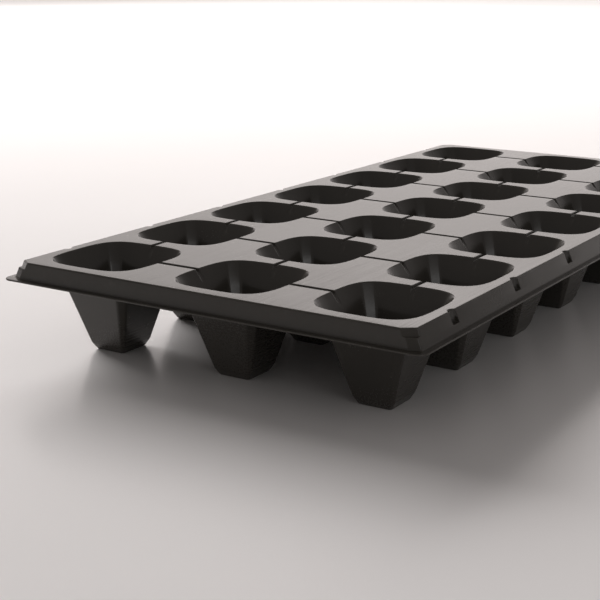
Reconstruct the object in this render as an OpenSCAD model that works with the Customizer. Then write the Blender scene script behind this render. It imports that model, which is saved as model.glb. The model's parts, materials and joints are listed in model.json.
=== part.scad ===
/* [Tray] */
// Overall length, over the rim flange
tray_l = 538; // [532:1:546]
// Overall width, over the rim flange
tray_w = 278; // [274:1:284]
// Height of the deck above the surface that the tray stands on
tray_h = 56; // [50:1:64]
// Thickness of the sheet in the deck, the skirt and the flange
sheet = 1; // [0.8:0.1:1.2]

/* [Cells] */
// Distance between neighbouring rows, along the tray
row_pitch = 74.5; // [73.5:0.1:74.8]
// Distance between neighbouring columns, across the tray
col_pitch = 91; // [88:0.5:92]
// Width of a cell's mouth, side to side
mouth_w = 63.5; // [61:0.5:65]
// Squareness of the mouth, where 2 is a circle and more is squarer
mouth_power = 3.6; // [3:0.1:5]
// Thickness of the drawn sheet in the cell walls
wall = 0.8; // [0.6:0.05:1]
// Half-width that the flat walls would have at deck height, outside
wall_half = 28.5; // [27.5:0.1:29]
// Draft of the flat walls, in mm of width per mm of depth
wall_draft = 0.305; // [0.26:0.005:0.32]
// Width cut from each corner of the flat walls at deck height
corner_cut = 6; // [4:0.5:8]
// Draft of that corner cut, in mm per mm of depth
corner_draft = 0.088; // [0.04:0.004:0.1]
// Depth over which the mouth's flared lip turns into the flat wall
lip_depth = 14; // [12:0.5:16]
// Height at which the walls turn in towards the foot
foot_h = 4.5; // [3:0.5:6]
// Half-width of the flat foot
foot_half = 10.2; // [8:0.2:11]
// Diameter of the drain hole in the foot
drain_d = 10; // [6:1:12]

/* [Channels] */
// Width of the narrow channels that link neighbouring cells
channel_w = 2.6; // [2:0.1:3]
// Depth of those channels below the deck's top face
channel_d = 2; // [1.6:0.1:2.4]

/* [Skirt and flange] */
// Depth of the flange's underside below the deck
skirt_h = 11; // [10:0.5:13]
// How far the skirt flares out on the long sides
flare_side = 4.7; // [3:0.1:5]
// How far the skirt flares out on the short ends
flare_end = 1.3; // [0.5:0.1:3]
// Width of the turned-out flange
flange_w = 4; // [3:0.5:5]
// Radius of the flange's outer corners
flange_r = 6; // [4:0.5:9]
// Corner cut of the deck, along the short end
deck_cut_end = 7.3; // [6.5:0.1:7.5]
// Corner cut of the deck, along the long side
deck_cut_side = 4.8; // [4:0.1:5.5]
// Corner cut of the skirt below the stacking step, along the short end
step_cut_end = 5.8; // [4:0.1:6]
// Corner cut of the skirt below the stacking step, along the long side
step_cut_side = 2.4; // [2:0.1:3.5]
// Depth of the stacking step below the deck
step_depth = 4; // [3:0.1:6]

/* [Flutes] */
// Radius of the upright flutes along the long sides
flute_r = 3.5; // [3:0.1:4]
// How far a flute bites into the deck's edge
flute_bite = 2; // [1.5:0.1:2.5]
// Depth of the flutes below the deck
flute_d = 6.5; // [5:0.5:7]

/* [Hidden] */
ROWS = 7;
COLS = 3;
CELLS = [for (r = [1:ROWS]) for (c = [1:COLS]) str("cell_r", r, "_c", c)];

deck_under = tray_h - sheet;
flange_z = tray_h - skirt_h;
side_x = tray_w / 2 - flange_w - flare_side;  // half-width of the deck
end_y = tray_l / 2 - flange_w - flare_end;    // half-length of the deck
deck_cut = [deck_cut_end, deck_cut_side];
step_cut = [step_cut_end, step_cut_side];
corner_zone = 8;                              // how far a corner piece reaches along each edge
far = tray_l;                                 // longer than anything that it is cut with
eps = 0.5;                                    // overshoot of a cut past a face
round_fn = 48;

// ---- Outline of one cell, as rings of points ----

// Places of one quarter ring: a share along the flat wall, then half-way across the corner cut
wall_shares = [0, 0.34, 0.68, 1];
mouth_angles = [0, 14, 28, 39, 45];

function quarter_flat(a, cut) = concat(
    [for (s = wall_shares) [a, s * (a - cut)]],
    [[a - cut / 2, a - cut / 2]],
    [for (i = [3:-1:1]) [wall_shares[i] * (a - cut), a]]);

function mouth_point(h, angle) =
    let (sum = pow(abs(cos(angle)), mouth_power) + pow(abs(sin(angle)), mouth_power))
    h / pow(sum, 1 / mouth_power) * [cos(angle), sin(angle)];

function quarter_mouth(h) = concat(
    [for (angle = mouth_angles) mouth_point(h, angle)],
    [for (i = [3:-1:1]) mouth_point(h, 90 - mouth_angles[i])]);

// The same quarter, turned to all four sides
function ring(quarter) = [for (k = [0:3]) for (p = quarter)
    [p[0] * cos(90 * k) - p[1] * sin(90 * k), p[0] * sin(90 * k) + p[1] * cos(90 * k)]];

function raised(points, z) = [for (p = points) [p[0], p[1], z]];
function mix(a, b, s) = [for (i = [0:len(a) - 1]) a[i] * (1 - s) + b[i] * s];

mouth_ring = ring(quarter_mouth(mouth_w / 2));

// Flat-walled ring at a depth, moved in by t
function flat_ring(depth, t) = ring(quarter_flat(
    wall_half - wall_draft * depth - t, corner_cut - corner_draft * depth));

foot_cut = corner_cut - corner_draft * tray_h;
function foot_ring(t) = ring(quarter_flat(foot_half - t, foot_cut));

// The lip leaves the flat wall smoothly, bends at this share of its height and flares out to the mouth
lip_rise = 0.2;
lip_shares = [0, 0.34, 0.68, 1];
function lip_bend(top) = lip_depth + (top - lip_depth) * lip_rise;

// Ring at a share of the way along the lip, moved in by t, where the mouth is at depth `top`
function lip_ring(s, t, top) =
    let (
        bend = lip_bend(top),
        low = mix(flat_ring(lip_depth, t), flat_ring(bend, t), s),
        high = mix(flat_ring(bend, t), mouth_ring, s))
    raised(mix(low, high, s), tray_h - pow(1 - s, 2) * lip_depth - 2 * s * (1 - s) * bend - s * s * top);

// Closed solid through rings of equal length, listed from the bottom up, with a fan over each end
module loft(rings) {
    n = len(rings[0]);
    top = len(rings) - 1;
    low_middle = len(rings) * n;
    points = concat(
        [for (r = rings) for (p = r) p],
        [[0, 0, rings[0][0][2]], [0, 0, rings[top][0][2]]]);
    faces = [for (i = [0:n - 1]) let (j = (i + 1) % n) each concat(
        [[low_middle, i, j]],
        [for (k = [0:top - 1]) each [
            [k * n + i, (k + 1) * n + i, (k + 1) * n + j],
            [k * n + i, (k + 1) * n + j, k * n + j]]],
        [[low_middle + 1, top * n + j, top * n + i]])];
    polyhedron(points = points, faces = faces, convexity = 4);
}

module cell_outside() {
    loft([
        raised(foot_ring(0), 0),
        raised(flat_ring(tray_h - foot_h, 0), foot_h),
        lip_ring(0, 0, sheet),
        lip_ring(channel_share / 2, 0, sheet),
        lip_ring(channel_share, 0, sheet),
        raised(mouth_ring, deck_under),
        raised(mouth_ring, tray_h)]);
}

module cell_inside() {
    loft(concat(
        [raised(foot_ring(wall), wall),
         raised(flat_ring(tray_h - foot_h - wall / 2, wall), foot_h + wall / 2)],
        [for (s = lip_shares) lip_ring(s, wall, 0)],
        [raised(mouth_ring, tray_h + eps)]));
}

// ---- Places ----

function cell_x(c) = (c - (COLS + 1) / 2) * col_pitch;
function cell_y(r) = (r - (ROWS + 1) / 2) * row_pitch;

// ---- Channels ----

// Share of the way along the lip's outside at which it is level with the channel's underside
lip_slope = 2 * (lip_bend(sheet) - lip_depth);
lip_bow = lip_depth - 2 * lip_bend(sheet) + sheet;
channel_under = channel_d + wall;
channel_root = sqrt(pow(lip_slope, 2) - 4 * lip_bow * (lip_depth - channel_under));
channel_share = (-lip_slope - channel_root) / (2 * lip_bow);
channel_end = lip_ring(channel_share, 0, sheet)[0];

// Slot from one cell's middle to the next along +X
module channel_slot(pitch) {
    translate([0, -channel_w / 2, tray_h - channel_d]) cube([pitch, channel_w, channel_d + eps]);
}

// Bar under the deck that holds the channel, ending on the two cells' walls
module channel_bar(pitch) {
    half = [[mouth_w / 2, deck_under], [channel_end[0], channel_end[2]]];
    w = channel_w + 2 * wall;
    translate([0, w / 2, 0]) rotate([90, 0, 0]) linear_extrude(w)
        polygon(concat(half, [for (i = [1, 0]) [pitch - half[i][0], half[i][1]]]));
}

module along_channels() {
    for (r = [1:ROWS - 1]) for (c = [1:COLS])
        translate([cell_x(c), cell_y(r), 0]) rotate(90) children();
}

module across_channels() {
    for (r = [1:ROWS]) for (c = [1:COLS - 1])
        translate([cell_x(c), cell_y(r), 0]) children();
}

// ---- Skirt ----

// Long bar whose half-width is `low` at the flange's underside and `high` at the deck's top face.
// It carries on at the same slope a little way past both.
module tapered_bar(low, high) {
    step = eps * (low - high) / skirt_h;
    z0 = flange_z - eps;
    z1 = tray_h + eps;
    rotate([90, 0, 0]) linear_extrude(2 * far, center = true)
        polygon([[-low - step, z0], [low + step, z0], [high - step, z1], [-high + step, z1]]);
}

// Distance from the middle to the line that cuts `cut` off the corner of a rectangle of half-size `half`
function diagonal(half, cut) = (half[0] * cut[1] + half[1] * cut[0] - cut[0] * cut[1]) / norm(cut);

// Solid inside the skirt, moved in by t, with its corners cut by `cut`, along the end and along the side
module skirt_body(t, cut) {
    low = [side_x + flare_side - t, end_y + flare_end - t];
    high = [side_x - t, end_y - t];
    turn = atan2(cut[0], cut[1]);
    intersection() {
        tapered_bar(low[0], high[0]);
        rotate(90) tapered_bar(low[1], high[1]);
        rotate(turn) tapered_bar(diagonal(low, cut), diagonal(high, cut));
        rotate(-turn) tapered_bar(diagonal(low, cut), diagonal(high, cut));
    }
}

module slab(z0, z1) {
    translate([-far, -far, z0]) cube([2 * far, 2 * far, z1 - z0]);
}

// The skirt body with the stacking step at its corners, moved in by t, from z0 up to the deck's underside
module stepped_body(t, z0) {
    intersection() {
        skirt_body(t, step_cut);
        slab(z0, tray_h - step_depth - t);
    }
    intersection() {
        skirt_body(t, deck_cut);
        slab(tray_h - step_depth - t - eps, deck_under);
    }
}

module skirt_shell() {
    difference() {
        stepped_body(0, flange_z);
        stepped_body(sheet, flange_z - eps);
    }
}

module flutes(r) {
    for (row = [1:ROWS], side = [-1, 1])
        translate([side * (side_x + flute_r - flute_bite), cell_y(row), tray_h - flute_d - (r - flute_r)])
            cylinder(h = flute_d + (r - flute_r) + eps, r = r, $fn = round_fn);
}

// Part of the skirt within a box, in the front left quarter turned by the mirror signs
module quarter_box(x0, x1, y0, y1, sx, sy) {
    intersection() {
        children();
        mirror([sx > 0 ? 0 : 1, 0, 0]) mirror([0, sy > 0 ? 0 : 1, 0])
            translate([x0, y0, 0]) cube([x1 - x0, y1 - y0, tray_h]);
    }
}

// ---- Sub-parts ----

module deck() {
    color("#2b2a29") difference() {
        union() {
            intersection() {
                skirt_body(0, deck_cut);
                slab(deck_under, tray_h);
            }
            along_channels() channel_bar(row_pitch);
            across_channels() channel_bar(col_pitch);
        }
        for (r = [1:ROWS]) for (c = [1:COLS])
            translate([cell_x(c), cell_y(r), deck_under]) linear_extrude(2 * sheet) polygon(mouth_ring);
        along_channels() channel_slot(row_pitch);
        across_channels() channel_slot(col_pitch);
        flutes(flute_r);
    }
}

module end_skirt(sy) {
    color("#242322") quarter_box(-side_x + corner_zone, side_x - corner_zone, 0, far, 1, sy) skirt_shell();
}

module side_skirt(sx) {
    color("#242322") quarter_box(0, far, -end_y + corner_zone, end_y - corner_zone, sx, 1) difference() {
        union() {
            skirt_shell();
            intersection() {
                flutes(flute_r + sheet);
                stepped_body(0, flange_z);
            }
        }
        flutes(flute_r);
    }
}

module corner(sx, sy) {
    color("#282726") quarter_box(side_x - corner_zone, far, end_y - corner_zone, far, sx, sy) skirt_shell();
}

module flange_plate() {
    difference() {
        translate([0, 0, flange_z]) linear_extrude(sheet) rounded_outline();
        skirt_body(0, step_cut);
    }
}

module rounded_outline() {
    square([tray_w, tray_l - 2 * flange_r], center = true);
    square([tray_w - 2 * flange_r, tray_l], center = true);
    for (sx = [-1, 1], sy = [-1, 1])
        translate([sx * (tray_w / 2 - flange_r), sy * (tray_l / 2 - flange_r)])
            circle(flange_r, $fn = round_fn);
}

// Wedges that meet at the corners' mitre lines, so that each side's strip is a piece of its own
module end_wedge(sy) {
    half_w = tray_w / 2;
    half_l = tray_l / 2;
    linear_extrude(tray_h) polygon([
        [0, sy * (half_l - half_w)],
        [-half_w - eps, sy * (half_l + eps)],
        [half_w + eps, sy * (half_l + eps)]]);
}

module flange_end(sy) {
    color("#2f2e2d") intersection() {
        flange_plate();
        end_wedge(sy);
    }
}

module flange_side(sx) {
    color("#2f2e2d") difference() {
        intersection() {
            flange_plate();
            translate([sx > 0 ? 0 : -far, -far, 0]) cube([far, 2 * far, tray_h]);
        }
        end_wedge(1);
        end_wedge(-1);
    }
}

module cell(r, c) {
    color("#1f1e1e") translate([cell_x(c), cell_y(r), 0]) difference() {
        cell_outside();
        cell_inside();
        translate([0, 0, -eps]) cylinder(h = wall + 2 * eps, d = drain_d, $fn = round_fn);
        if (c > 1) rotate(180) channel_slot(col_pitch / 2);
        if (c < COLS) channel_slot(col_pitch / 2);
        if (r > 1) rotate(-90) channel_slot(row_pitch / 2);
        if (r < ROWS) rotate(90) channel_slot(row_pitch / 2);
    }
}

deck();
end_skirt(-1);  // skirt_front
end_skirt(1);  // skirt_back
side_skirt(-1);  // skirt_left
side_skirt(1);  // skirt_right
corner(-1, -1);  // corner_front_left
corner(1, -1);  // corner_front_right
corner(-1, 1);  // corner_back_left
corner(1, 1);  // corner_back_right
flange_end(-1);  // flange_front
flange_end(1);  // flange_back
flange_side(-1);  // flange_left
flange_side(1);  // flange_right
for (r = [1:ROWS]) for (c = [1:COLS])
    cell(r, c);
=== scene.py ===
import json
import math

import bmesh
import bpy
import numpy as np
from mathutils import Matrix, Vector


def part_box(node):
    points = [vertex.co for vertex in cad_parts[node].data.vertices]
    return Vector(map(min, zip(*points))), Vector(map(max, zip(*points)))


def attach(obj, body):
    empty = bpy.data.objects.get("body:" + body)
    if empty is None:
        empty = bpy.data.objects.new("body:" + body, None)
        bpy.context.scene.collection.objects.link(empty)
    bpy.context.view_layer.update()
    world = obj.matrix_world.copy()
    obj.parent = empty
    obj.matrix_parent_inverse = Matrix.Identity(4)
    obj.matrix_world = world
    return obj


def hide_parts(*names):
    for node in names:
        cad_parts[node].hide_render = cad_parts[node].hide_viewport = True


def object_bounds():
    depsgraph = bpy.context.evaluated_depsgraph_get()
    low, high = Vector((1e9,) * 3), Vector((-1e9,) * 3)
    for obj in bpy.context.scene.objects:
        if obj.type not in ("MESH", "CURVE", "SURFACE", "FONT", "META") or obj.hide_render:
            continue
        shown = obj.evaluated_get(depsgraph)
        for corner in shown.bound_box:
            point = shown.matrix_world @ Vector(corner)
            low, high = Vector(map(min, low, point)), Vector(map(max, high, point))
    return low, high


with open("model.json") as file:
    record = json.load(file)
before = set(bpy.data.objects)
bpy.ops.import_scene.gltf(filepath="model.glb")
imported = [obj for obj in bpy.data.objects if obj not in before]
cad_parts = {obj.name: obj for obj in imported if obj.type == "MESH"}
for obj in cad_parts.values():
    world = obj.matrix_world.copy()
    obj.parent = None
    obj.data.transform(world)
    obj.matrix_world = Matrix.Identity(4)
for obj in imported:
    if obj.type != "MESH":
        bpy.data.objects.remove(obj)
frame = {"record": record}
CAD_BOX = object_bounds()

# ---- Sizes ----
# Shapes are worked out in millimetres and turned into the frame's metres when a piece is made.

MM = 0.001
ROWS, COLS = 7, 3
HALF_W, HALF_L, HEIGHT = (round(side / MM, 3) for side in CAD_BOX[1])

SHEET, WALL = 1.0, 0.8                # thickness of the deck and skirt, and of the drawn cells

# The cells
MOUTH_HALF, MOUTH_POWER = 31.75, 3.6  # the mouth's outline is a superellipse
MOUTH_ROUND = 0.5                     # how far the small radius of the mouth's edge reaches into the deck
LIP_DEPTH = 14.0                      # of the flare below the mouth
LIP_RISE = 0.2                        # share of it where the flare turns off the wall's line
LIP_EDGE = 0.06                       # share of the flare that the radius of the mouth's edge takes up
WALL_HALF, WALL_DRAFT = 28.5, 0.305   # a flat cell wall, carried up to deck height
CORNER_CUT, CORNER_DRAFT = 6.0, 0.088
ARRIS_SHARE = 0.4                     # a wall meets its corner cut in a radius: this share of the cut
ARRIS_MORE = {"upper": 0.8, "under": 1.2}  # and this on top
FOOT_H, FOOT_HALF, FOOT_ROUND = 4.5, 10.2, 0.8
DRAIN_R, DRAIN_BEVEL = 5.0, 0.15

# The deck, the skirt and the flange
CHANNEL_HALF, CHANNEL_D = 1.3, 2.0
SKIRT_H, FLANGE_W, FLANGE_R = 11.0, 4.0, 6.0
FLARE = (4.7, 1.3)                    # of the long sides, and of the short ends
DECK_CUT = np.array([7.3, 4.8])       # a corner's cut above its step, off the short end and off the long side
STEP_CUT = np.array([5.8, 2.4])       # and below it
STEP_DEPTH, CORNER_ZONE = 4.0, 8.0
FLUTE_R, FLUTE_BITE, FLUTE_D = 3.5, 2.0, 6.5
FLUTE_LAST = -0.4                     # cosine of the furthest that a flute's wall turns, at its ledge
DECK_HALF = (HALF_W - FLANGE_W - FLARE[0], HALF_L - FLANGE_W - FLARE[1])
FLANGE_Z = HEIGHT - SKIRT_H

# Small radii of the rim, on the sheet's two faces
EDGE_ROUND = {"upper": 0.9, "under": 0.4}    # the deck's edge
FOLD_ROUND = {"upper": 0.7, "under": 0.9}    # where the skirt meets the flange
CORNER_ROUND = {"upper": 0.9, "under": 0.5}  # the arrises of the tray's corners
LIP_ROUND = 0.36                             # the flange's edge
SMALL_ROUND = 0.3                            # the corner steps and the flutes

# ---- The grid ----
# Each cell, with the deck and rim round it, is a grid of rows and columns on both faces of the sheet.
# Rows run from the drain hole out to the rim. Columns run round the cell, and a ring of them is eight
# octants, each from the middle of a wall to a corner.

LEAD = np.array([-1, -0.44, -0.16, -0.05, 0.05, 0.16, 0.5]) * CHANNEL_HALF  # columns about a channel's side
GROOVE = np.array([1, 1, 0.94, 0.7, 0.3, 0.06, 0])  # share of the channel's depth at each of them
SPANS = np.array([0.3, 0.62, 0.86])                 # columns along the flat wall
ARC_STEPS = 4                                       # columns in a rounded arris
OCTANT = len(LEAD) + len(SPANS) + ARC_STEPS + 2     # columns in one octant, both ends included
SHOULDER = len(LEAD)                                # first column past the channel or flute
ZONE = len(LEAD) + len(SPANS) - 1                   # column where a corner of the tray starts
RING = 8 * (OCTANT - 1)

WALLS = ("right", "back", "left", "front")          # towards +X, +Y, -X, -Y
CORNERS = ("back_right", "back_left", "front_left", "front_right")  # each follows the wall of its number
SIDES = ("upper", "under")                          # the two faces of the sheet

FOOT_STATIONS = (0.18, 0.8)                         # the foot's slope is straight between these
WALL_STATIONS = (0.02, 0.3, 0.6, 0.85)              # rows on the cell's wall, from the foot to the flare
BEZIER_STEPS = 4                                    # rows in a rounded turn
LIP_STEPS, EDGE_STEPS = 5, 3                        # rows in the flare, and in the mouth's edge
FLANGE_EDGE_STEPS = 2                               # rows in the flange's edge
DRAIN_ROWS = 3                                      # rows of the drain hole's edge and the floor round it


def mixed(a, b, share):
    return a * (1 - share) + b * share


def bezier(start, corner, end, shares):
    return [mixed(mixed(start, corner, s), mixed(corner, end, s), s) for s in shares]


def rounded(start, corner, end, steps=BEZIER_STEPS):
    """Points of a smooth turn from start to end that leaves both straight runs tangent."""
    return bezier(np.array(start), np.array(corner), np.array(end), np.linspace(0, 1, steps + 1))


def lateral(side):
    """How far the columns about a channel lie from the middle of their wall."""
    return LEAD + CHANNEL_HALF + (WALL if side == "under" else 0)


def with_z(points, z):
    return np.column_stack([points, np.full(len(points), z)])


def corner_arc(half, other, own_cut, other_cut, radius):
    """Rounded arris of a cut corner, from the wall at x = half to the middle of the cut. The next wall lies
    at y = other. The cut takes own_cut off this wall and other_cut off the next."""
    turn = math.atan2(other_cut, own_cut)
    end = other - own_cut - radius * math.tan(turn / 2)
    angles = np.linspace(0, turn, ARC_STEPS + 1)
    arc = np.column_stack([half - radius + radius * np.cos(angles), end + radius * np.sin(angles)])
    return np.vstack([arc, [half - other_cut / 2, other - own_cut / 2]])


def flat_octant(half, cut, side):
    lead = lateral(side)
    arc = corner_arc(half, half, cut, cut, arris(cut, side))
    along = np.concatenate([lead, mixed(lead[-1], arc[0, 1], SPANS)])
    return np.vstack([np.column_stack([np.full(len(along), half), along]), arc])


def mouth_octant(side, half=MOUTH_HALF):
    lead = lateral(side)
    straight = (half**MOUTH_POWER - lead**MOUTH_POWER) ** (1 / MOUTH_POWER)
    below = wall_octant(HEIGHT - LIP_DEPTH, side)[SHOULDER:]
    angle = np.arctan2(below[:, 1], below[:, 0])
    cos, sin = np.cos(angle), np.sin(angle)
    reach = half / (cos**MOUTH_POWER + sin**MOUTH_POWER) ** (1 / MOUTH_POWER)
    return np.vstack([np.column_stack([straight, lead]), np.column_stack([reach * cos, reach * sin])])


def wall_cut(z):
    return CORNER_CUT - CORNER_DRAFT * (HEIGHT - z)


def wall_half(z, side):
    return WALL_HALF - WALL_DRAFT * (HEIGHT - z) - (WALL if side == "upper" else 0)


def arris(cut, side):
    """Radius where a flat wall meets its corner cut."""
    return ARRIS_SHARE * cut + ARRIS_MORE[side]


def wall_octant(z, side):
    return flat_octant(wall_half(z, side), wall_cut(z), side)


def cell_rows(side):
    """One octant of every row of a cell, from the drain hole's edge up to its mouth, as points."""
    inner = side == "upper"
    floor = WALL if inner else 0.0
    turn = FOOT_H + WALL / 2 if inner else FOOT_H
    foot = [FOOT_HALF - (WALL if inner else 0), wall_cut(0), floor]
    knee = [wall_half(turn, side), wall_cut(turn), turn]
    top_z = HEIGHT - LIP_DEPTH
    shoulder = [wall_half(top_z, side), wall_cut(top_z), top_z]
    flat = [foot[0] - FOOT_ROUND, foot[1], floor]
    foot, knee, shoulder = np.array(foot), np.array(knee), np.array(shoulder)
    on_chamfer = [mixed(foot, knee, share) for share in FOOT_STATIONS]
    on_wall = [mixed(knee, shoulder, share) for share in WALL_STATIONS]
    stations = rounded(flat, foot, on_chamfer[0]) + rounded(on_chamfer[1], knee, on_wall[0])
    stations += on_wall[1:] + [shoulder]

    first = flat_octant(stations[0][0], stations[0][1], side)
    unit = first / np.linalg.norm(first, axis=1)[:, None]
    bevel = DRAIN_BEVEL if inner else -DRAIN_BEVEL
    rows = [
        with_z(unit * DRAIN_R, floor - bevel),
        with_z(unit * (DRAIN_R + DRAIN_BEVEL), floor),
        with_z(mixed(unit * (DRAIN_R + DRAIN_BEVEL), first, 0.5), floor),
    ]
    rows += [with_z(flat_octant(half, cut, side), z) for half, cut, z in stations]

    deck_z = HEIGHT if inner else HEIGHT - SHEET
    bend_z = mixed(top_z, deck_z, LIP_RISE)
    bend = with_z(wall_octant(bend_z, side), bend_z)
    mouth = with_z(mouth_octant(side), deck_z)
    flare_end = mixed(mouth, bend, LIP_EDGE)
    level = with_z(mouth_octant(side, MOUTH_HALF + MOUTH_ROUND), deck_z)
    rows += bezier(rows[-1], bend, flare_end, np.linspace(0, 1, LIP_STEPS + 1)[1:])
    return rows + bezier(flare_end, mouth, level, np.linspace(0, 1, EDGE_STEPS + 1)[1:])


# ---- The rim: rows from the deck's edge down the skirt and out to the flange's edge ----


class RimRow:
    """A row of the rim: its share of the skirt's flare, how far it lies out from the skirt's face, and its
    height. At the tray's corners and at the flutes it can lie at another height."""

    def __init__(self, share, out, z, cut, corner_z=None, bend=None,
                 flute="wall", flute_z=None, flute_in=0.0):
        self.share, self.out, self.z, self.cut = share, out, z, cut
        self.corner_z = z if corner_z is None else corner_z
        self.bend = bend        # radius of the flange's corner, which has no cut
        self.flute = flute      # the row's part there: the flute's "wall", its "ledge", or "below" it
        self.flute_z = z if flute_z is None else flute_z
        self.flute_in = flute_in  # how far the ledge's radius takes the row in from the wall

    def plane(self, axis, z=None):
        """Distance of the row from the tray's middle, on a long side (axis 0) or an end (axis 1)."""
        share = self.share if z is None or z == self.z else skirt_share(z)
        return DECK_HALF[axis] + share * FLARE[axis] + self.out


def skirt_share(z):
    return (HEIGHT - z) / SKIRT_H


def cut_at(cut, out):
    """Corner cut of an outline that lies out by that much all round."""
    return cut + out * (1 - (np.linalg.norm(cut) - cut) / cut[::-1])


def rim_rows(side):
    t = SHEET if side == "under" else 0.0
    face_z = FLANGE_Z if side == "under" else FLANGE_Z + SHEET
    top, edge, fold = HEIGHT - t, EDGE_ROUND[side], FOLD_ROUND[side]
    step_z, ledge_z = HEIGHT - STEP_DEPTH - t, HEIGHT - FLUTE_D - t

    turn = rounded([skirt_share(top), -t - edge, top], [skirt_share(top), -t, top],
                   [skirt_share(top - edge), -t, top - edge])
    rows = [RimRow(share, out, z, cut_at(DECK_CUT, out)) for share, out, z in turn]

    def wall(z, cut, **other):
        rows.append(RimRow(skirt_share(z), -t, z, cut_at(cut, -t), **other))

    small = SMALL_ROUND
    wall(step_z + 2 * small, DECK_CUT)
    wall(step_z + small, DECK_CUT)
    wall(step_z + small / 3, DECK_CUT - small / 2, corner_z=step_z)
    wall(step_z - small / 3, STEP_CUT + small / 2, corner_z=step_z)
    wall(step_z - small, STEP_CUT)
    wall(ledge_z + 2 * small, STEP_CUT)
    wall(ledge_z + small, STEP_CUT)
    wall(ledge_z + small / 2, STEP_CUT, flute_z=ledge_z + small / 4, flute_in=small / 4)
    wall(ledge_z, STEP_CUT, flute_z=ledge_z, flute_in=small)
    wall(ledge_z - small / 2, STEP_CUT, flute="ledge", flute_z=ledge_z, flute_in=small)
    wall(ledge_z - small, STEP_CUT, flute="below")

    share = skirt_share(face_z)
    turn = rounded([skirt_share(face_z + fold), -t, face_z + fold], [share, -t, face_z],
                   [share, fold - t, face_z])
    rows += [RimRow(share, out, z, cut_at(STEP_CUT, out), flute="below") for share, out, z in turn]

    down = LIP_ROUND if side == "upper" else -LIP_ROUND
    turn = rounded([1, FLANGE_W - LIP_ROUND, face_z], [1, FLANGE_W, face_z], [1, FLANGE_W, face_z - down],
                   FLANGE_EDGE_STEPS)
    for share, out, z in turn:
        rows.append(RimRow(share, out, z, None, bend=FLANGE_R + out - FLANGE_W, flute="below"))
    return rows


RIM = {side: rim_rows(side) for side in SIDES}
CELL_OCTANTS = {side: cell_rows(side) for side in SIDES}
CELL_ROWS = len(CELL_OCTANTS["upper"])
EDGE_ROW = CELL_ROWS + 1                        # the deck's edge starts to turn here
SKIRT_ROW = EDGE_ROW + BEZIER_STEPS             # the skirt starts here
TILE_ROWS = EDGE_ROW + len(RIM["upper"])        # rows of points in one face of a tile
FLANGE_ROW = TILE_ROWS - FLANGE_EDGE_STEPS - 2  # the flange starts here, where the fold ends
UNDER = TILE_ROWS * RING                        # number of the first point of the under face


class Tile:
    """One cell with its share of the deck and, at the tray's edge, of the rim."""

    def __init__(self, r, c):
        low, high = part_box(f"cell_r{r}_c{c}")
        self.cell = f"cell_r{r}_c{c}"
        self.centre = np.array([round((low[i] + high[i]) / 2 / MM, 3) for i in (0, 1)])
        self.outer = (c == COLS, r == ROWS, c == 1, r == 1)

    def reach(self, wall, plane):
        """Distance from the cell's middle to a plane of the rim."""
        return plane - abs(self.centre[wall % 2])


CELL_1 = Tile(1, 1).centre
PITCH = tuple(abs(Tile(2, 2).centre - CELL_1))


def placed(octant, wall, turn):
    """An octant in its own place: turned to its wall, and mirrored for the half before the wall's middle."""
    x, y, z = octant[:, 0], octant[:, 1] * turn, octant[:, 2]
    quarter = wall % 4
    cos, sin = (1, 0, -1, 0)[quarter], (0, 1, 0, -1)[quarter]
    return np.column_stack([x * cos - y * sin, x * sin + y * cos, z])


def ring(octant):
    """The whole ring. octant(wall, turn) gives the points of one octant in its wall's own axes, or None on
    a wall where the tile has no such row."""
    parts = []
    for wall in range(4):
        after = (wall + 1) % 4
        ahead, behind = octant(wall, 1), octant(after, -1)
        unused = np.zeros((OCTANT, 3))
        ahead = unused if ahead is None else placed(ahead, wall, 1)
        behind = unused if behind is None else placed(behind, after, -1)
        corner = ahead[-1:] if ahead is not unused else behind[-1:]
        parts += [ahead[:-1], corner, behind[-2:0:-1]]
    return np.vstack(parts)


def grooved(octant, side):
    """An octant of the lip or the deck with its half of a channel pressed in."""
    floor = HEIGHT - CHANNEL_D - (WALL if side == "under" else 0)
    pressed = octant.copy()
    lead = pressed[:SHOULDER, 2]
    pressed[:SHOULDER, 2] = lead - np.maximum(0, lead - floor) * GROOVE
    return pressed


def spread(start, end, side):
    """Places from start to end along a tile's edge, spaced as the mouth's columns are."""
    along = mouth_octant(side, MOUTH_HALF + MOUTH_ROUND)[SHOULDER:, 1]
    origin = lateral(side)[-1]
    return start + (along - origin) / (along[-1] - origin) * (end - start)


def flute_lead(row, x):
    """Columns of a long side, where the row's plane is at x, from a flute's middle to just past its arris."""
    share = np.linspace(0, 1, SHOULDER)
    if row.flute == "below":
        half = FLUTE_R * math.sqrt(1 - FLUTE_LAST**2)
        lead = np.column_stack([np.full(SHOULDER, x), share * half])
        return with_z(lead, row.z), half + SMALL_ROUND
    centre = DECK_HALF[0] + FLUTE_R - FLUTE_BITE
    radius = FLUTE_R - row.out - row.flute_in
    arris_angle = math.acos(max((centre - x) / radius, FLUTE_LAST))
    half = radius * math.sin(arris_angle)
    if row.flute == "wall":
        angle = share * (arris_angle - SMALL_ROUND / radius)
        lead = np.column_stack([centre - radius * np.cos(angle), radius * np.sin(angle)])
    else:
        lead = np.column_stack([np.full(SHOULDER, x - row.flute_in), share * half])
    return with_z(lead, row.flute_z), half + SMALL_ROUND


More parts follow.
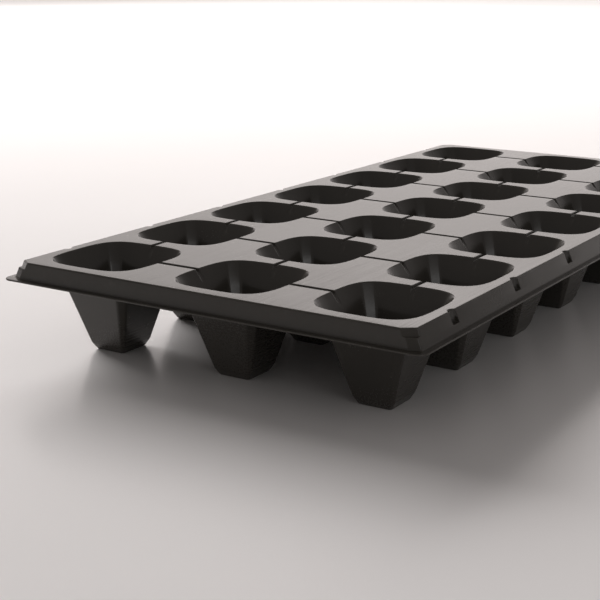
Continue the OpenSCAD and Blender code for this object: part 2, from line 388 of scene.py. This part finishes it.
def rim_octant(tile, row, wall, turn, side):
    """One octant of a rim row, on a wall at the tray's edge."""
    axis = wall % 2
    x = tile.reach(wall, row.plane(axis))
    if axis == 0:
        lead, start = flute_lead(row, row.plane(0, row.flute_z))
        lead[:, 0] = tile.reach(wall, lead[:, 0])
    else:
        along = lateral(side)
        lead, start = with_z(np.column_stack([np.full(SHOULDER, x), along]), row.z), along[-1] + SMALL_ROUND
    next_wall = (wall + turn) % 4
    if not tile.outer[next_wall]:
        along = spread(start, PITCH[1 - axis] / 2, side)
        along[0] = start
        rest = with_z(np.column_stack([np.full(len(along), x), along]), row.z)
        return np.vstack([lead, rest])
    zone = tile.reach(next_wall, DECK_HALF[1 - axis]) - CORNER_ZONE
    along = np.array([start, mixed(start, zone, 0.6), zone])
    rest = with_z(np.column_stack([np.full(3, x), along]), row.z)
    half = tile.reach(wall, row.plane(axis, row.corner_z))
    other = tile.reach(next_wall, row.plane(1 - axis, row.corner_z))
    if row.bend:
        angles = np.linspace(0, math.pi / 4, ARC_STEPS + 2)
        corner = np.column_stack([half + row.bend * (np.cos(angles) - 1),
                                  other + row.bend * (np.sin(angles) - 1)])
    else:
        corner = corner_arc(half, other, row.cut[1 - axis], row.cut[axis], CORNER_ROUND[side])
    return np.vstack([lead, rest, with_z(corner, row.corner_z)])


def deck_octant(tile, wall, turn, side):
    """One octant of the row where a tile ends: at the deck's edge, or half-way to the next cell."""
    row = RIM[side][0]
    if tile.outer[wall]:
        return rim_octant(tile, row, wall, turn, side)
    axis = wall % 2
    x = PITCH[axis] / 2
    next_wall = (wall + turn) % 4
    end = tile.reach(next_wall, row.plane(1 - axis)) if tile.outer[next_wall] else PITCH[1 - axis] / 2
    along = np.concatenate([lateral(side), spread(lateral(side)[-1], end, side)])
    return grooved(with_z(np.column_stack([np.full(OCTANT, x), along]), row.z), side)


def tile_rows(tile, side):
    """Every ring of a tile's face of the sheet, in the tray's own place."""
    def cell_octant(row):
        octant = CELL_OCTANTS[side][row]
        return lambda wall, turn: octant if tile.outer[wall] else grooved(octant, side)

    rows = [ring(cell_octant(row)) for row in range(CELL_ROWS)]
    edge = ring(lambda wall, turn: deck_octant(tile, wall, turn, side))
    rows += [mixed(rows[-1], edge, 0.5), edge]
    for row in RIM[side][1:]:
        rows.append(ring(
            lambda wall, turn: rim_octant(tile, row, wall, turn, side) if tile.outer[wall] else None))
    rows = np.array(rows)
    rows[:, :, :2] += tile.centre
    return rows


# ---- Which piece each quad of a tile belongs to ----


def piece_map(tile):
    """Name of the piece for each quad between two rows and two columns, or "" where the tile has none."""
    names = np.full((TILE_ROWS - 1, RING), "", dtype=object)
    names[:CELL_ROWS - 1] = tile.cell
    names[CELL_ROWS - 1:EDGE_ROW] = "deck"
    half = OCTANT - 1
    for column in range(RING):
        quarter, place = divmod(column, 2 * half)
        wall = quarter if place < half else (quarter + 1) % 4
        if not tile.outer[wall]:
            continue
        from_wall = min(place, 2 * half - 1 - place)
        at_corner = tile.outer[quarter] and tile.outer[(quarter + 1) % 4] and from_wall >= ZONE
        names[EDGE_ROW:SKIRT_ROW, column] = "deck"
        skirt = f"corner_{CORNERS[quarter]}" if at_corner else f"skirt_{WALLS[wall]}"
        names[SKIRT_ROW:FLANGE_ROW, column] = skirt
        names[FLANGE_ROW:, column] = f"flange_{WALLS[wall]}"
    return names


def quads(rows, columns, side):
    """Corner numbers of the quads at those rows and columns, facing out of the sheet."""
    here, after = rows * RING + columns, rows * RING + (columns + 1) % RING
    if side == "upper":
        return np.column_stack([here, here + RING, after + RING, after])
    return np.column_stack([here, after, after + RING, here + RING]) + UNDER


def bands(first, second):
    """Quads that close the sheet between its faces, along edges from first to second on the upper face."""
    return np.column_stack([first, second, second + UNDER, first + UNDER])


def tile_faces(names, name):
    """Quads of one piece in one tile: first the sheet's two faces and its bare edges, and then the joints
    with other pieces."""
    mine = names == name
    rows, columns = np.nonzero(mine)
    faces = [quads(rows, columns, side) for side in SIDES]
    columns = np.nonzero(mine[0])[0]
    faces.append(bands(columns, (columns + 1) % RING))
    columns, last = np.nonzero(mine[-1])[0], len(names) * RING
    faces.append(bands(last + (columns + 1) % RING, last + columns))
    joints = []
    other = (names != "") & ~mine
    rows, columns = np.nonzero(mine[1:] & other[:-1])
    joints.append(bands((rows + 1) * RING + columns, (rows + 1) * RING + (columns + 1) % RING))
    rows, columns = np.nonzero(mine[:-1] & other[1:])
    joints.append(bands((rows + 1) * RING + (columns + 1) % RING, (rows + 1) * RING + columns))
    rows, columns = np.nonzero(mine & np.roll(other, -1, axis=1))
    after = (columns + 1) % RING
    joints.append(bands(rows * RING + after, (rows + 1) * RING + after))
    rows, columns = np.nonzero(mine & np.roll(other, 1, axis=1))
    joints.append(bands((rows + 1) * RING + columns, rows * RING + columns))
    return np.vstack(faces), np.vstack(joints)


def sheet_normals(points, names):
    """Normal at each point of a tile, from all the sheet's faces round it in proportion to their areas."""
    rows, columns = np.nonzero(names != "")
    faces = [quads(rows, columns, side) for side in SIDES]
    columns = np.arange(RING)
    faces.append(bands(columns, (columns + 1) % RING))
    found = np.nonzero(names[-1] != "")[0]
    last = len(names) * RING
    faces.append(bands(last + (found + 1) % RING, last + found))
    faces = np.vstack(faces)
    corner = points[faces]
    area = np.cross(corner[:, 2] - corner[:, 0], corner[:, 3] - corner[:, 1])
    normals = np.zeros_like(points)
    for place in range(4):
        np.add.at(normals, faces[:, place], area)
    length = np.linalg.norm(normals, axis=1)
    length[length == 0] = 1
    return normals / length[:, None]


# ---- What the materials need to know about each row ----

FOOT_WEAR = (0.2, 0.7, 1, 0.7, 0.3)   # rubbing, row by row, round the foot's edge
DECK_WEAR = (0, 0.7, 1, 0.7, 0.1)     # round the deck's edge
FLANGE_WEAR = (0, 0.6, 1, 1)          # and out to the flange's edge


def row_facts():
    """For each row: how far the sheet was drawn there (0 to 1), and how much its edge is rubbed (0 to 1)."""
    drawn, rubbed = np.zeros(TILE_ROWS), np.zeros(TILE_ROWS)
    heights = [octant[-1, 2] for octant in CELL_OCTANTS["upper"]]
    drawn[:CELL_ROWS] = 1 - np.array(heights) / HEIGHT
    rubbed[DRAIN_ROWS:DRAIN_ROWS + len(FOOT_WEAR)] = FOOT_WEAR
    rubbed[EDGE_ROW:SKIRT_ROW + 1] = DECK_WEAR
    rubbed[-len(FLANGE_WEAR):] = FLANGE_WEAR
    return drawn, rubbed


# ---- Materials ----


class Nodes:
    """Short calls for making the nodes of a material or of the world."""

    def __init__(self, owner, shader, coordinates):
        owner.use_nodes = True
        self.tree = owner.node_tree
        self.shader = self.tree.nodes[shader]
        self.coordinates = self.add("ShaderNodeTexCoord").outputs[coordinates]

    def add(self, kind, **settings):
        node = self.tree.nodes.new(kind)
        for key, value in settings.items():
            setattr(node, key, value)
        return node

    def link(self, source, target):
        self.tree.links.new(source, target)

    def noise(self, scale, detail=2.0, stretch=(1, 1, 1)):
        """Noise of that many features per metre, stretched along each axis."""
        mapping = self.add("ShaderNodeMapping")
        mapping.inputs["Scale"].default_value = stretch
        self.link(self.coordinates, mapping.inputs["Vector"])
        node = self.add("ShaderNodeTexNoise")
        node.inputs["Scale"].default_value = scale
        node.inputs["Detail"].default_value = detail
        self.link(mapping.outputs["Vector"], node.inputs["Vector"])
        return node.outputs["Fac"]

    def ranged(self, value, low, high, to_low, to_high, how="LINEAR"):
        node = self.add("ShaderNodeMapRange", interpolation_type=how)
        for key, number in zip(("From Min", "From Max", "To Min", "To Max"), (low, high, to_low, to_high)):
            node.inputs[key].default_value = number
        self.link(value, node.inputs["Value"])
        return node.outputs["Result"]

    def varied(self, noise, to_low, to_high):
        """Spreads the range that noise is mostly in over another."""
        return self.ranged(noise, 0.3, 0.7, to_low, to_high)

    def eased(self, value, span, start, end):
        """Turns smoothly from start to end as the value crosses the span."""
        return self.ranged(value, *span, start, end, "SMOOTHSTEP")

    def math(self, operation, first, second):
        node = self.add("ShaderNodeMath", operation=operation)
        for socket, value in zip(node.inputs, (first, second)):
            if isinstance(value, (int, float)):
                socket.default_value = value
            else:
                self.link(value, socket)
        return node.outputs["Value"]

    def colour_mix(self, share, first, second):
        node = self.add("ShaderNodeMix", data_type="RGBA")
        self.link(share, node.inputs["Factor"])
        for socket, value in zip((node.inputs[6], node.inputs[7]), (first, second)):  # the colour sockets
            if isinstance(value, tuple):
                socket.default_value = (*value, 1)
            else:
                self.link(value, socket)
        return node.outputs[2]

    def attribute(self, name):
        return self.add("ShaderNodeAttribute", attribute_name=name).outputs["Fac"]

    def bump(self, height, strength, distance, under=None):
        node = self.add("ShaderNodeBump")
        node.inputs["Strength"].default_value = strength
        node.inputs["Distance"].default_value = distance
        self.link(height, node.inputs["Height"])
        if under is not None:
            self.link(under, node.inputs["Normal"])
        return node.outputs["Normal"]


BLACK, WARM_BLACK, RUBBED = (0.036, 0.033, 0.0275), (0.048, 0.043, 0.036), (0.1, 0.093, 0.083)
RIM_ROUGHNESS, CELL_ROUGHNESS, SHEET_IOR = 0.17, 0.2, 1.5
FLOOR_COLOURS = (0.82, 0.81, 0.805), (0.85, 0.842, 0.838)
FLOOR_ROUGHNESS, FLOOR_IOR = (0.2, 0.22), 1.6


def formed_sheet(name, roughness):
    """Black sheet: faint lines from its extrusion, a little dull where it was drawn, rubbed on its edges."""
    material = bpy.data.materials.new(name)
    n = Nodes(material, "Principled BSDF", "Object")
    drawn, edge = n.attribute("drawn"), n.attribute("rubbed")
    clouds, mottle = n.noise(14, 3), n.noise(260, 2)
    lines = n.noise(60, 2, stretch=(16, 0.35, 16))
    scuffs = n.ranged(n.noise(120, 4, stretch=(1, 3.2, 1)), 0.62, 0.74, 0, 1)
    grain, peel = n.noise(2600, 2), n.noise(420, 2)

    tint = n.math("ADD", n.varied(clouds, 0, 0.55), n.math("MULTIPLY", drawn, 0.35))
    tint = n.math("ADD", tint, n.varied(mottle, -0.08, 0.08))
    wear = n.math("MULTIPLY", edge, n.ranged(n.noise(90, 3), 0.35, 0.7, 0, 0.4))
    wear = n.math("MAXIMUM", wear, n.math("MULTIPLY", scuffs, 0.1))
    colour = n.colour_mix(wear, n.colour_mix(tint, BLACK, WARM_BLACK), RUBBED)
    n.link(colour, n.shader.inputs["Base Color"])

    rough = n.math("ADD", n.varied(clouds, -0.03, 0.04), n.varied(lines, -0.03, 0.03))
    rough = n.math("ADD", rough, n.math("MULTIPLY", wear, 0.25))
    rough = n.math("ADD", rough, n.math("MULTIPLY", drawn, 0.07))
    n.link(n.math("ADD", rough, roughness), n.shader.inputs["Roughness"])

    normal = n.bump(lines, 0.015, 0.00005)
    normal = n.bump(peel, 0.02, 0.00006, normal)
    normal = n.bump(grain, 0.03, 0.00001, normal)
    n.link(normal, n.shader.inputs["Normal"])
    n.shader.inputs["IOR"].default_value = SHEET_IOR
    return material


def floor_material():
    material = bpy.data.materials.new("pale_floor")
    n = Nodes(material, "Principled BSDF", "Object")
    clouds = n.noise(3, 3)
    n.link(n.colour_mix(clouds, *FLOOR_COLOURS), n.shader.inputs["Base Color"])
    n.link(n.varied(clouds, *FLOOR_ROUGHNESS), n.shader.inputs["Roughness"])
    n.shader.inputs["IOR"].default_value = FLOOR_IOR
    return material


# ---- Making the pieces ----

WELD = 0.002  # points of neighbouring tiles nearer than this are one point


def set_normals(mesh):
    """Gives the mesh the whole sheet's normals, so that pieces meet without a seam. Joints are flat."""
    stored = np.zeros(len(mesh.vertices) * 3, np.float32)
    mesh.attributes["sheet_normal"].data.foreach_get("vector", stored)
    corner_vertex = np.zeros(len(mesh.loops), np.int32)
    mesh.loops.foreach_get("vertex_index", corner_vertex)
    corner_normals = stored.reshape(-1, 3)[corner_vertex]
    joint = mesh.attributes["joint"].data
    for polygon in mesh.polygons:
        if joint[polygon.index].value:
            corner_normals[polygon.loop_start:polygon.loop_start + polygon.loop_total] = polygon.normal
    mesh.normals_split_custom_set(corner_normals)


def add_piece(name, parts, material):
    """Builds one piece from its share of each tile, welded, and puts it in the place of its CAD node."""
    points, normals, facts, faces, joints = [], [], [], [], []
    count = 0
    for tile_points, tile_normals, tile_facts, (own, closing) in parts:
        used, index = np.unique(np.vstack([own, closing]), return_inverse=True)
        index = index.reshape(-1, 4) + count
        points.append(tile_points[used])
        normals.append(tile_normals[used])
        facts.append(tile_facts[used])
        faces.append(index)
        joints += [False] * len(own) + [True] * len(closing)
        count += len(used)
    facts = np.vstack(facts)

    mesh = bpy.data.meshes.new(name)
    mesh.from_pydata(np.vstack(points) * MM, [], np.vstack(faces).tolist())
    mesh.attributes.new("sheet_normal", "FLOAT_VECTOR", "POINT").data.foreach_set(
        "vector", np.vstack(normals).astype(np.float32).ravel())
    for key, values in zip(("drawn", "rubbed"), facts.T):
        mesh.attributes.new(key, "FLOAT", "POINT").data.foreach_set("value", values.astype(np.float32))
    mesh.attributes.new("joint", "BOOLEAN", "FACE").data.foreach_set("value", joints)

    shape = bmesh.new()
    shape.from_mesh(mesh)
    bmesh.ops.remove_doubles(shape, verts=shape.verts, dist=WELD * MM)
    shape.to_mesh(mesh)
    shape.free()
    mesh.polygons.foreach_set("use_smooth", [True] * len(mesh.polygons))
    set_normals(mesh)
    for key in ("sheet_normal", "joint"):
        mesh.attributes.remove(mesh.attributes[key])

    piece = bpy.data.objects.new(f"formed_{name}", mesh)
    bpy.context.scene.collection.objects.link(piece)
    mesh.materials.append(material)
    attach(piece, "root")
    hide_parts(name)
    return piece


def add_tray():
    slots = {part["node"]: part["material_slot"] for part in frame["record"]["subparts"]}
    roughness = {"rim_sheet": RIM_ROUGHNESS, "cell_sheet": CELL_ROUGHNESS}
    materials = {slot: formed_sheet(slot, value) for slot, value in roughness.items()}
    facts = np.repeat(np.column_stack(row_facts()), RING, axis=0)
    facts = np.vstack([facts, facts])
    parts = {}
    for r in range(1, ROWS + 1):
        for c in range(1, COLS + 1):
            tile = Tile(r, c)
            points = np.vstack([tile_rows(tile, side).reshape(-1, 3) for side in SIDES])
            names = piece_map(tile)
            normals = sheet_normals(points, names)
            for name in set(names.ravel()) - {""}:
                parts.setdefault(name, []).append((points, normals, facts, tile_faces(names, name)))
    for name in sorted(parts):
        add_piece(name, parts[name], materials[slots[name]])


# ---- Stage ----

FLOOR_R = 9                                     # metres
BACKDROP = (-0.42, 0.907)                       # towards the middle of the bright backdrop
BACKDROP_EDGE, STRIP_EDGE = (0.5, 0.93), (0.9, 0.98)  # soft side edges of it and its strip, as cosines
HORIZON_Z, STRIP_Z, TOP_Z = (0.06, 0.16), (0.22, 0.3), (0.3, 0.42)  # soft upper or lower edges, as sines
HORIZON_LIGHT, BACKDROP_LIGHT, STRIP_LIGHT, ROOM_LIGHT = 1.3, 0.85, 1.3, 0.22
WORLD_COLOUR = (1.0, 0.93, 0.905)
SOFTBOX_COLOUR = (1, 0.96, 0.95)


def add_floor():
    shape = bmesh.new()
    bmesh.ops.create_circle(shape, cap_ends=True, segments=96, radius=FLOOR_R)
    mesh = bpy.data.meshes.new("floor")
    shape.to_mesh(mesh)
    shape.free()
    floor = bpy.data.objects.new("floor", mesh)
    bpy.context.scene.collection.objects.link(floor)
    mesh.materials.append(floor_material())


def add_world():
    """A dim room with a bright backdrop on one side: brightest low at the horizon, and with a strip of light
    across its upper part."""
    world = bpy.data.worlds.new("studio")
    n = Nodes(world, "Background", "Generated")
    azimuth = n.add("ShaderNodeVectorMath", operation="DOT_PRODUCT")
    azimuth.inputs[1].default_value = (*BACKDROP, 0)
    n.link(n.coordinates, azimuth.inputs[0])
    parts = n.add("ShaderNodeSeparateXYZ")
    n.link(n.coordinates, parts.inputs["Vector"])
    aside, height = azimuth.outputs["Value"], parts.outputs["Z"]
    behind = n.eased(aside, BACKDROP_EDGE, 0, 1)
    beam = n.eased(aside, STRIP_EDGE, 0, STRIP_LIGHT)
    backdrop = n.eased(height, HORIZON_Z, HORIZON_LIGHT, BACKDROP_LIGHT)
    strip = n.math("MULTIPLY", beam, n.eased(height, STRIP_Z, 0, 1))
    low = n.eased(height, TOP_Z, 1, 0)
    glow = n.math("MULTIPLY", n.math("MULTIPLY", behind, low), n.math("ADD", backdrop, strip))
    n.link(n.math("ADD", glow, ROOM_LIGHT), n.shader.inputs["Strength"])
    n.shader.inputs["Color"].default_value = (*WORLD_COLOUR, 1)
    bpy.context.scene.world = world


def add_light(name, size, power, place, colour=(1, 1, 1)):
    """A rectangular light that faces the tray's middle."""
    light = bpy.data.lights.new(name, "AREA")
    light.shape = "RECTANGLE"
    light.size, light.size_y = size
    light.energy = power
    light.color = colour
    holder = bpy.data.objects.new(name, light)
    holder.location = place
    holder.rotation_euler = (-Vector(place)).to_track_quat("-Z", "Y").to_euler()
    bpy.context.scene.collection.objects.link(holder)
    return holder


def add_lights():
    """A softbox at the left, which lights the floor, and a weak panel at the front right, which the cells'
    corners reflect."""
    softbox = add_light("softbox", (3.5, 1.3), 230, (-3.1, 1.8, 1.8), SOFTBOX_COLOUR)
    softbox.visible_glossy = False
    add_light("panel", (1.2, 1.2), 5, (2.35, -1.36, 1.27))


def add_camera():
    """The camera looks from the front right, a little down, with the tray's front corner below its middle."""
    azimuth, elevation, roll = math.radians(30.045), math.radians(13.766), math.radians(0.395)
    distance = 0.754
    target = Vector((0.0474, -0.14287, HEIGHT * MM))
    back = Vector((math.sin(azimuth) * math.cos(elevation), -math.cos(azimuth) * math.cos(elevation),
                   math.sin(elevation)))
    data = bpy.data.cameras.new("camera")
    data.lens, data.sensor_width = 76.95, 36
    data.shift_x, data.shift_y = -0.15, -0.071
    data.clip_start, data.clip_end = 0.01, 50
    camera = bpy.data.objects.new("camera", data)
    turn = (-back).to_track_quat("-Z", "Y").to_matrix() @ Matrix.Rotation(roll, 3, "Z")
    camera.matrix_world = Matrix.Translation(target + back * distance) @ turn.to_4x4()
    bpy.context.scene.collection.objects.link(camera)
    bpy.context.scene.camera = camera
    bpy.context.scene.view_settings.view_transform = "Standard"


add_tray()
add_floor()
add_world()
add_lights()
add_camera()
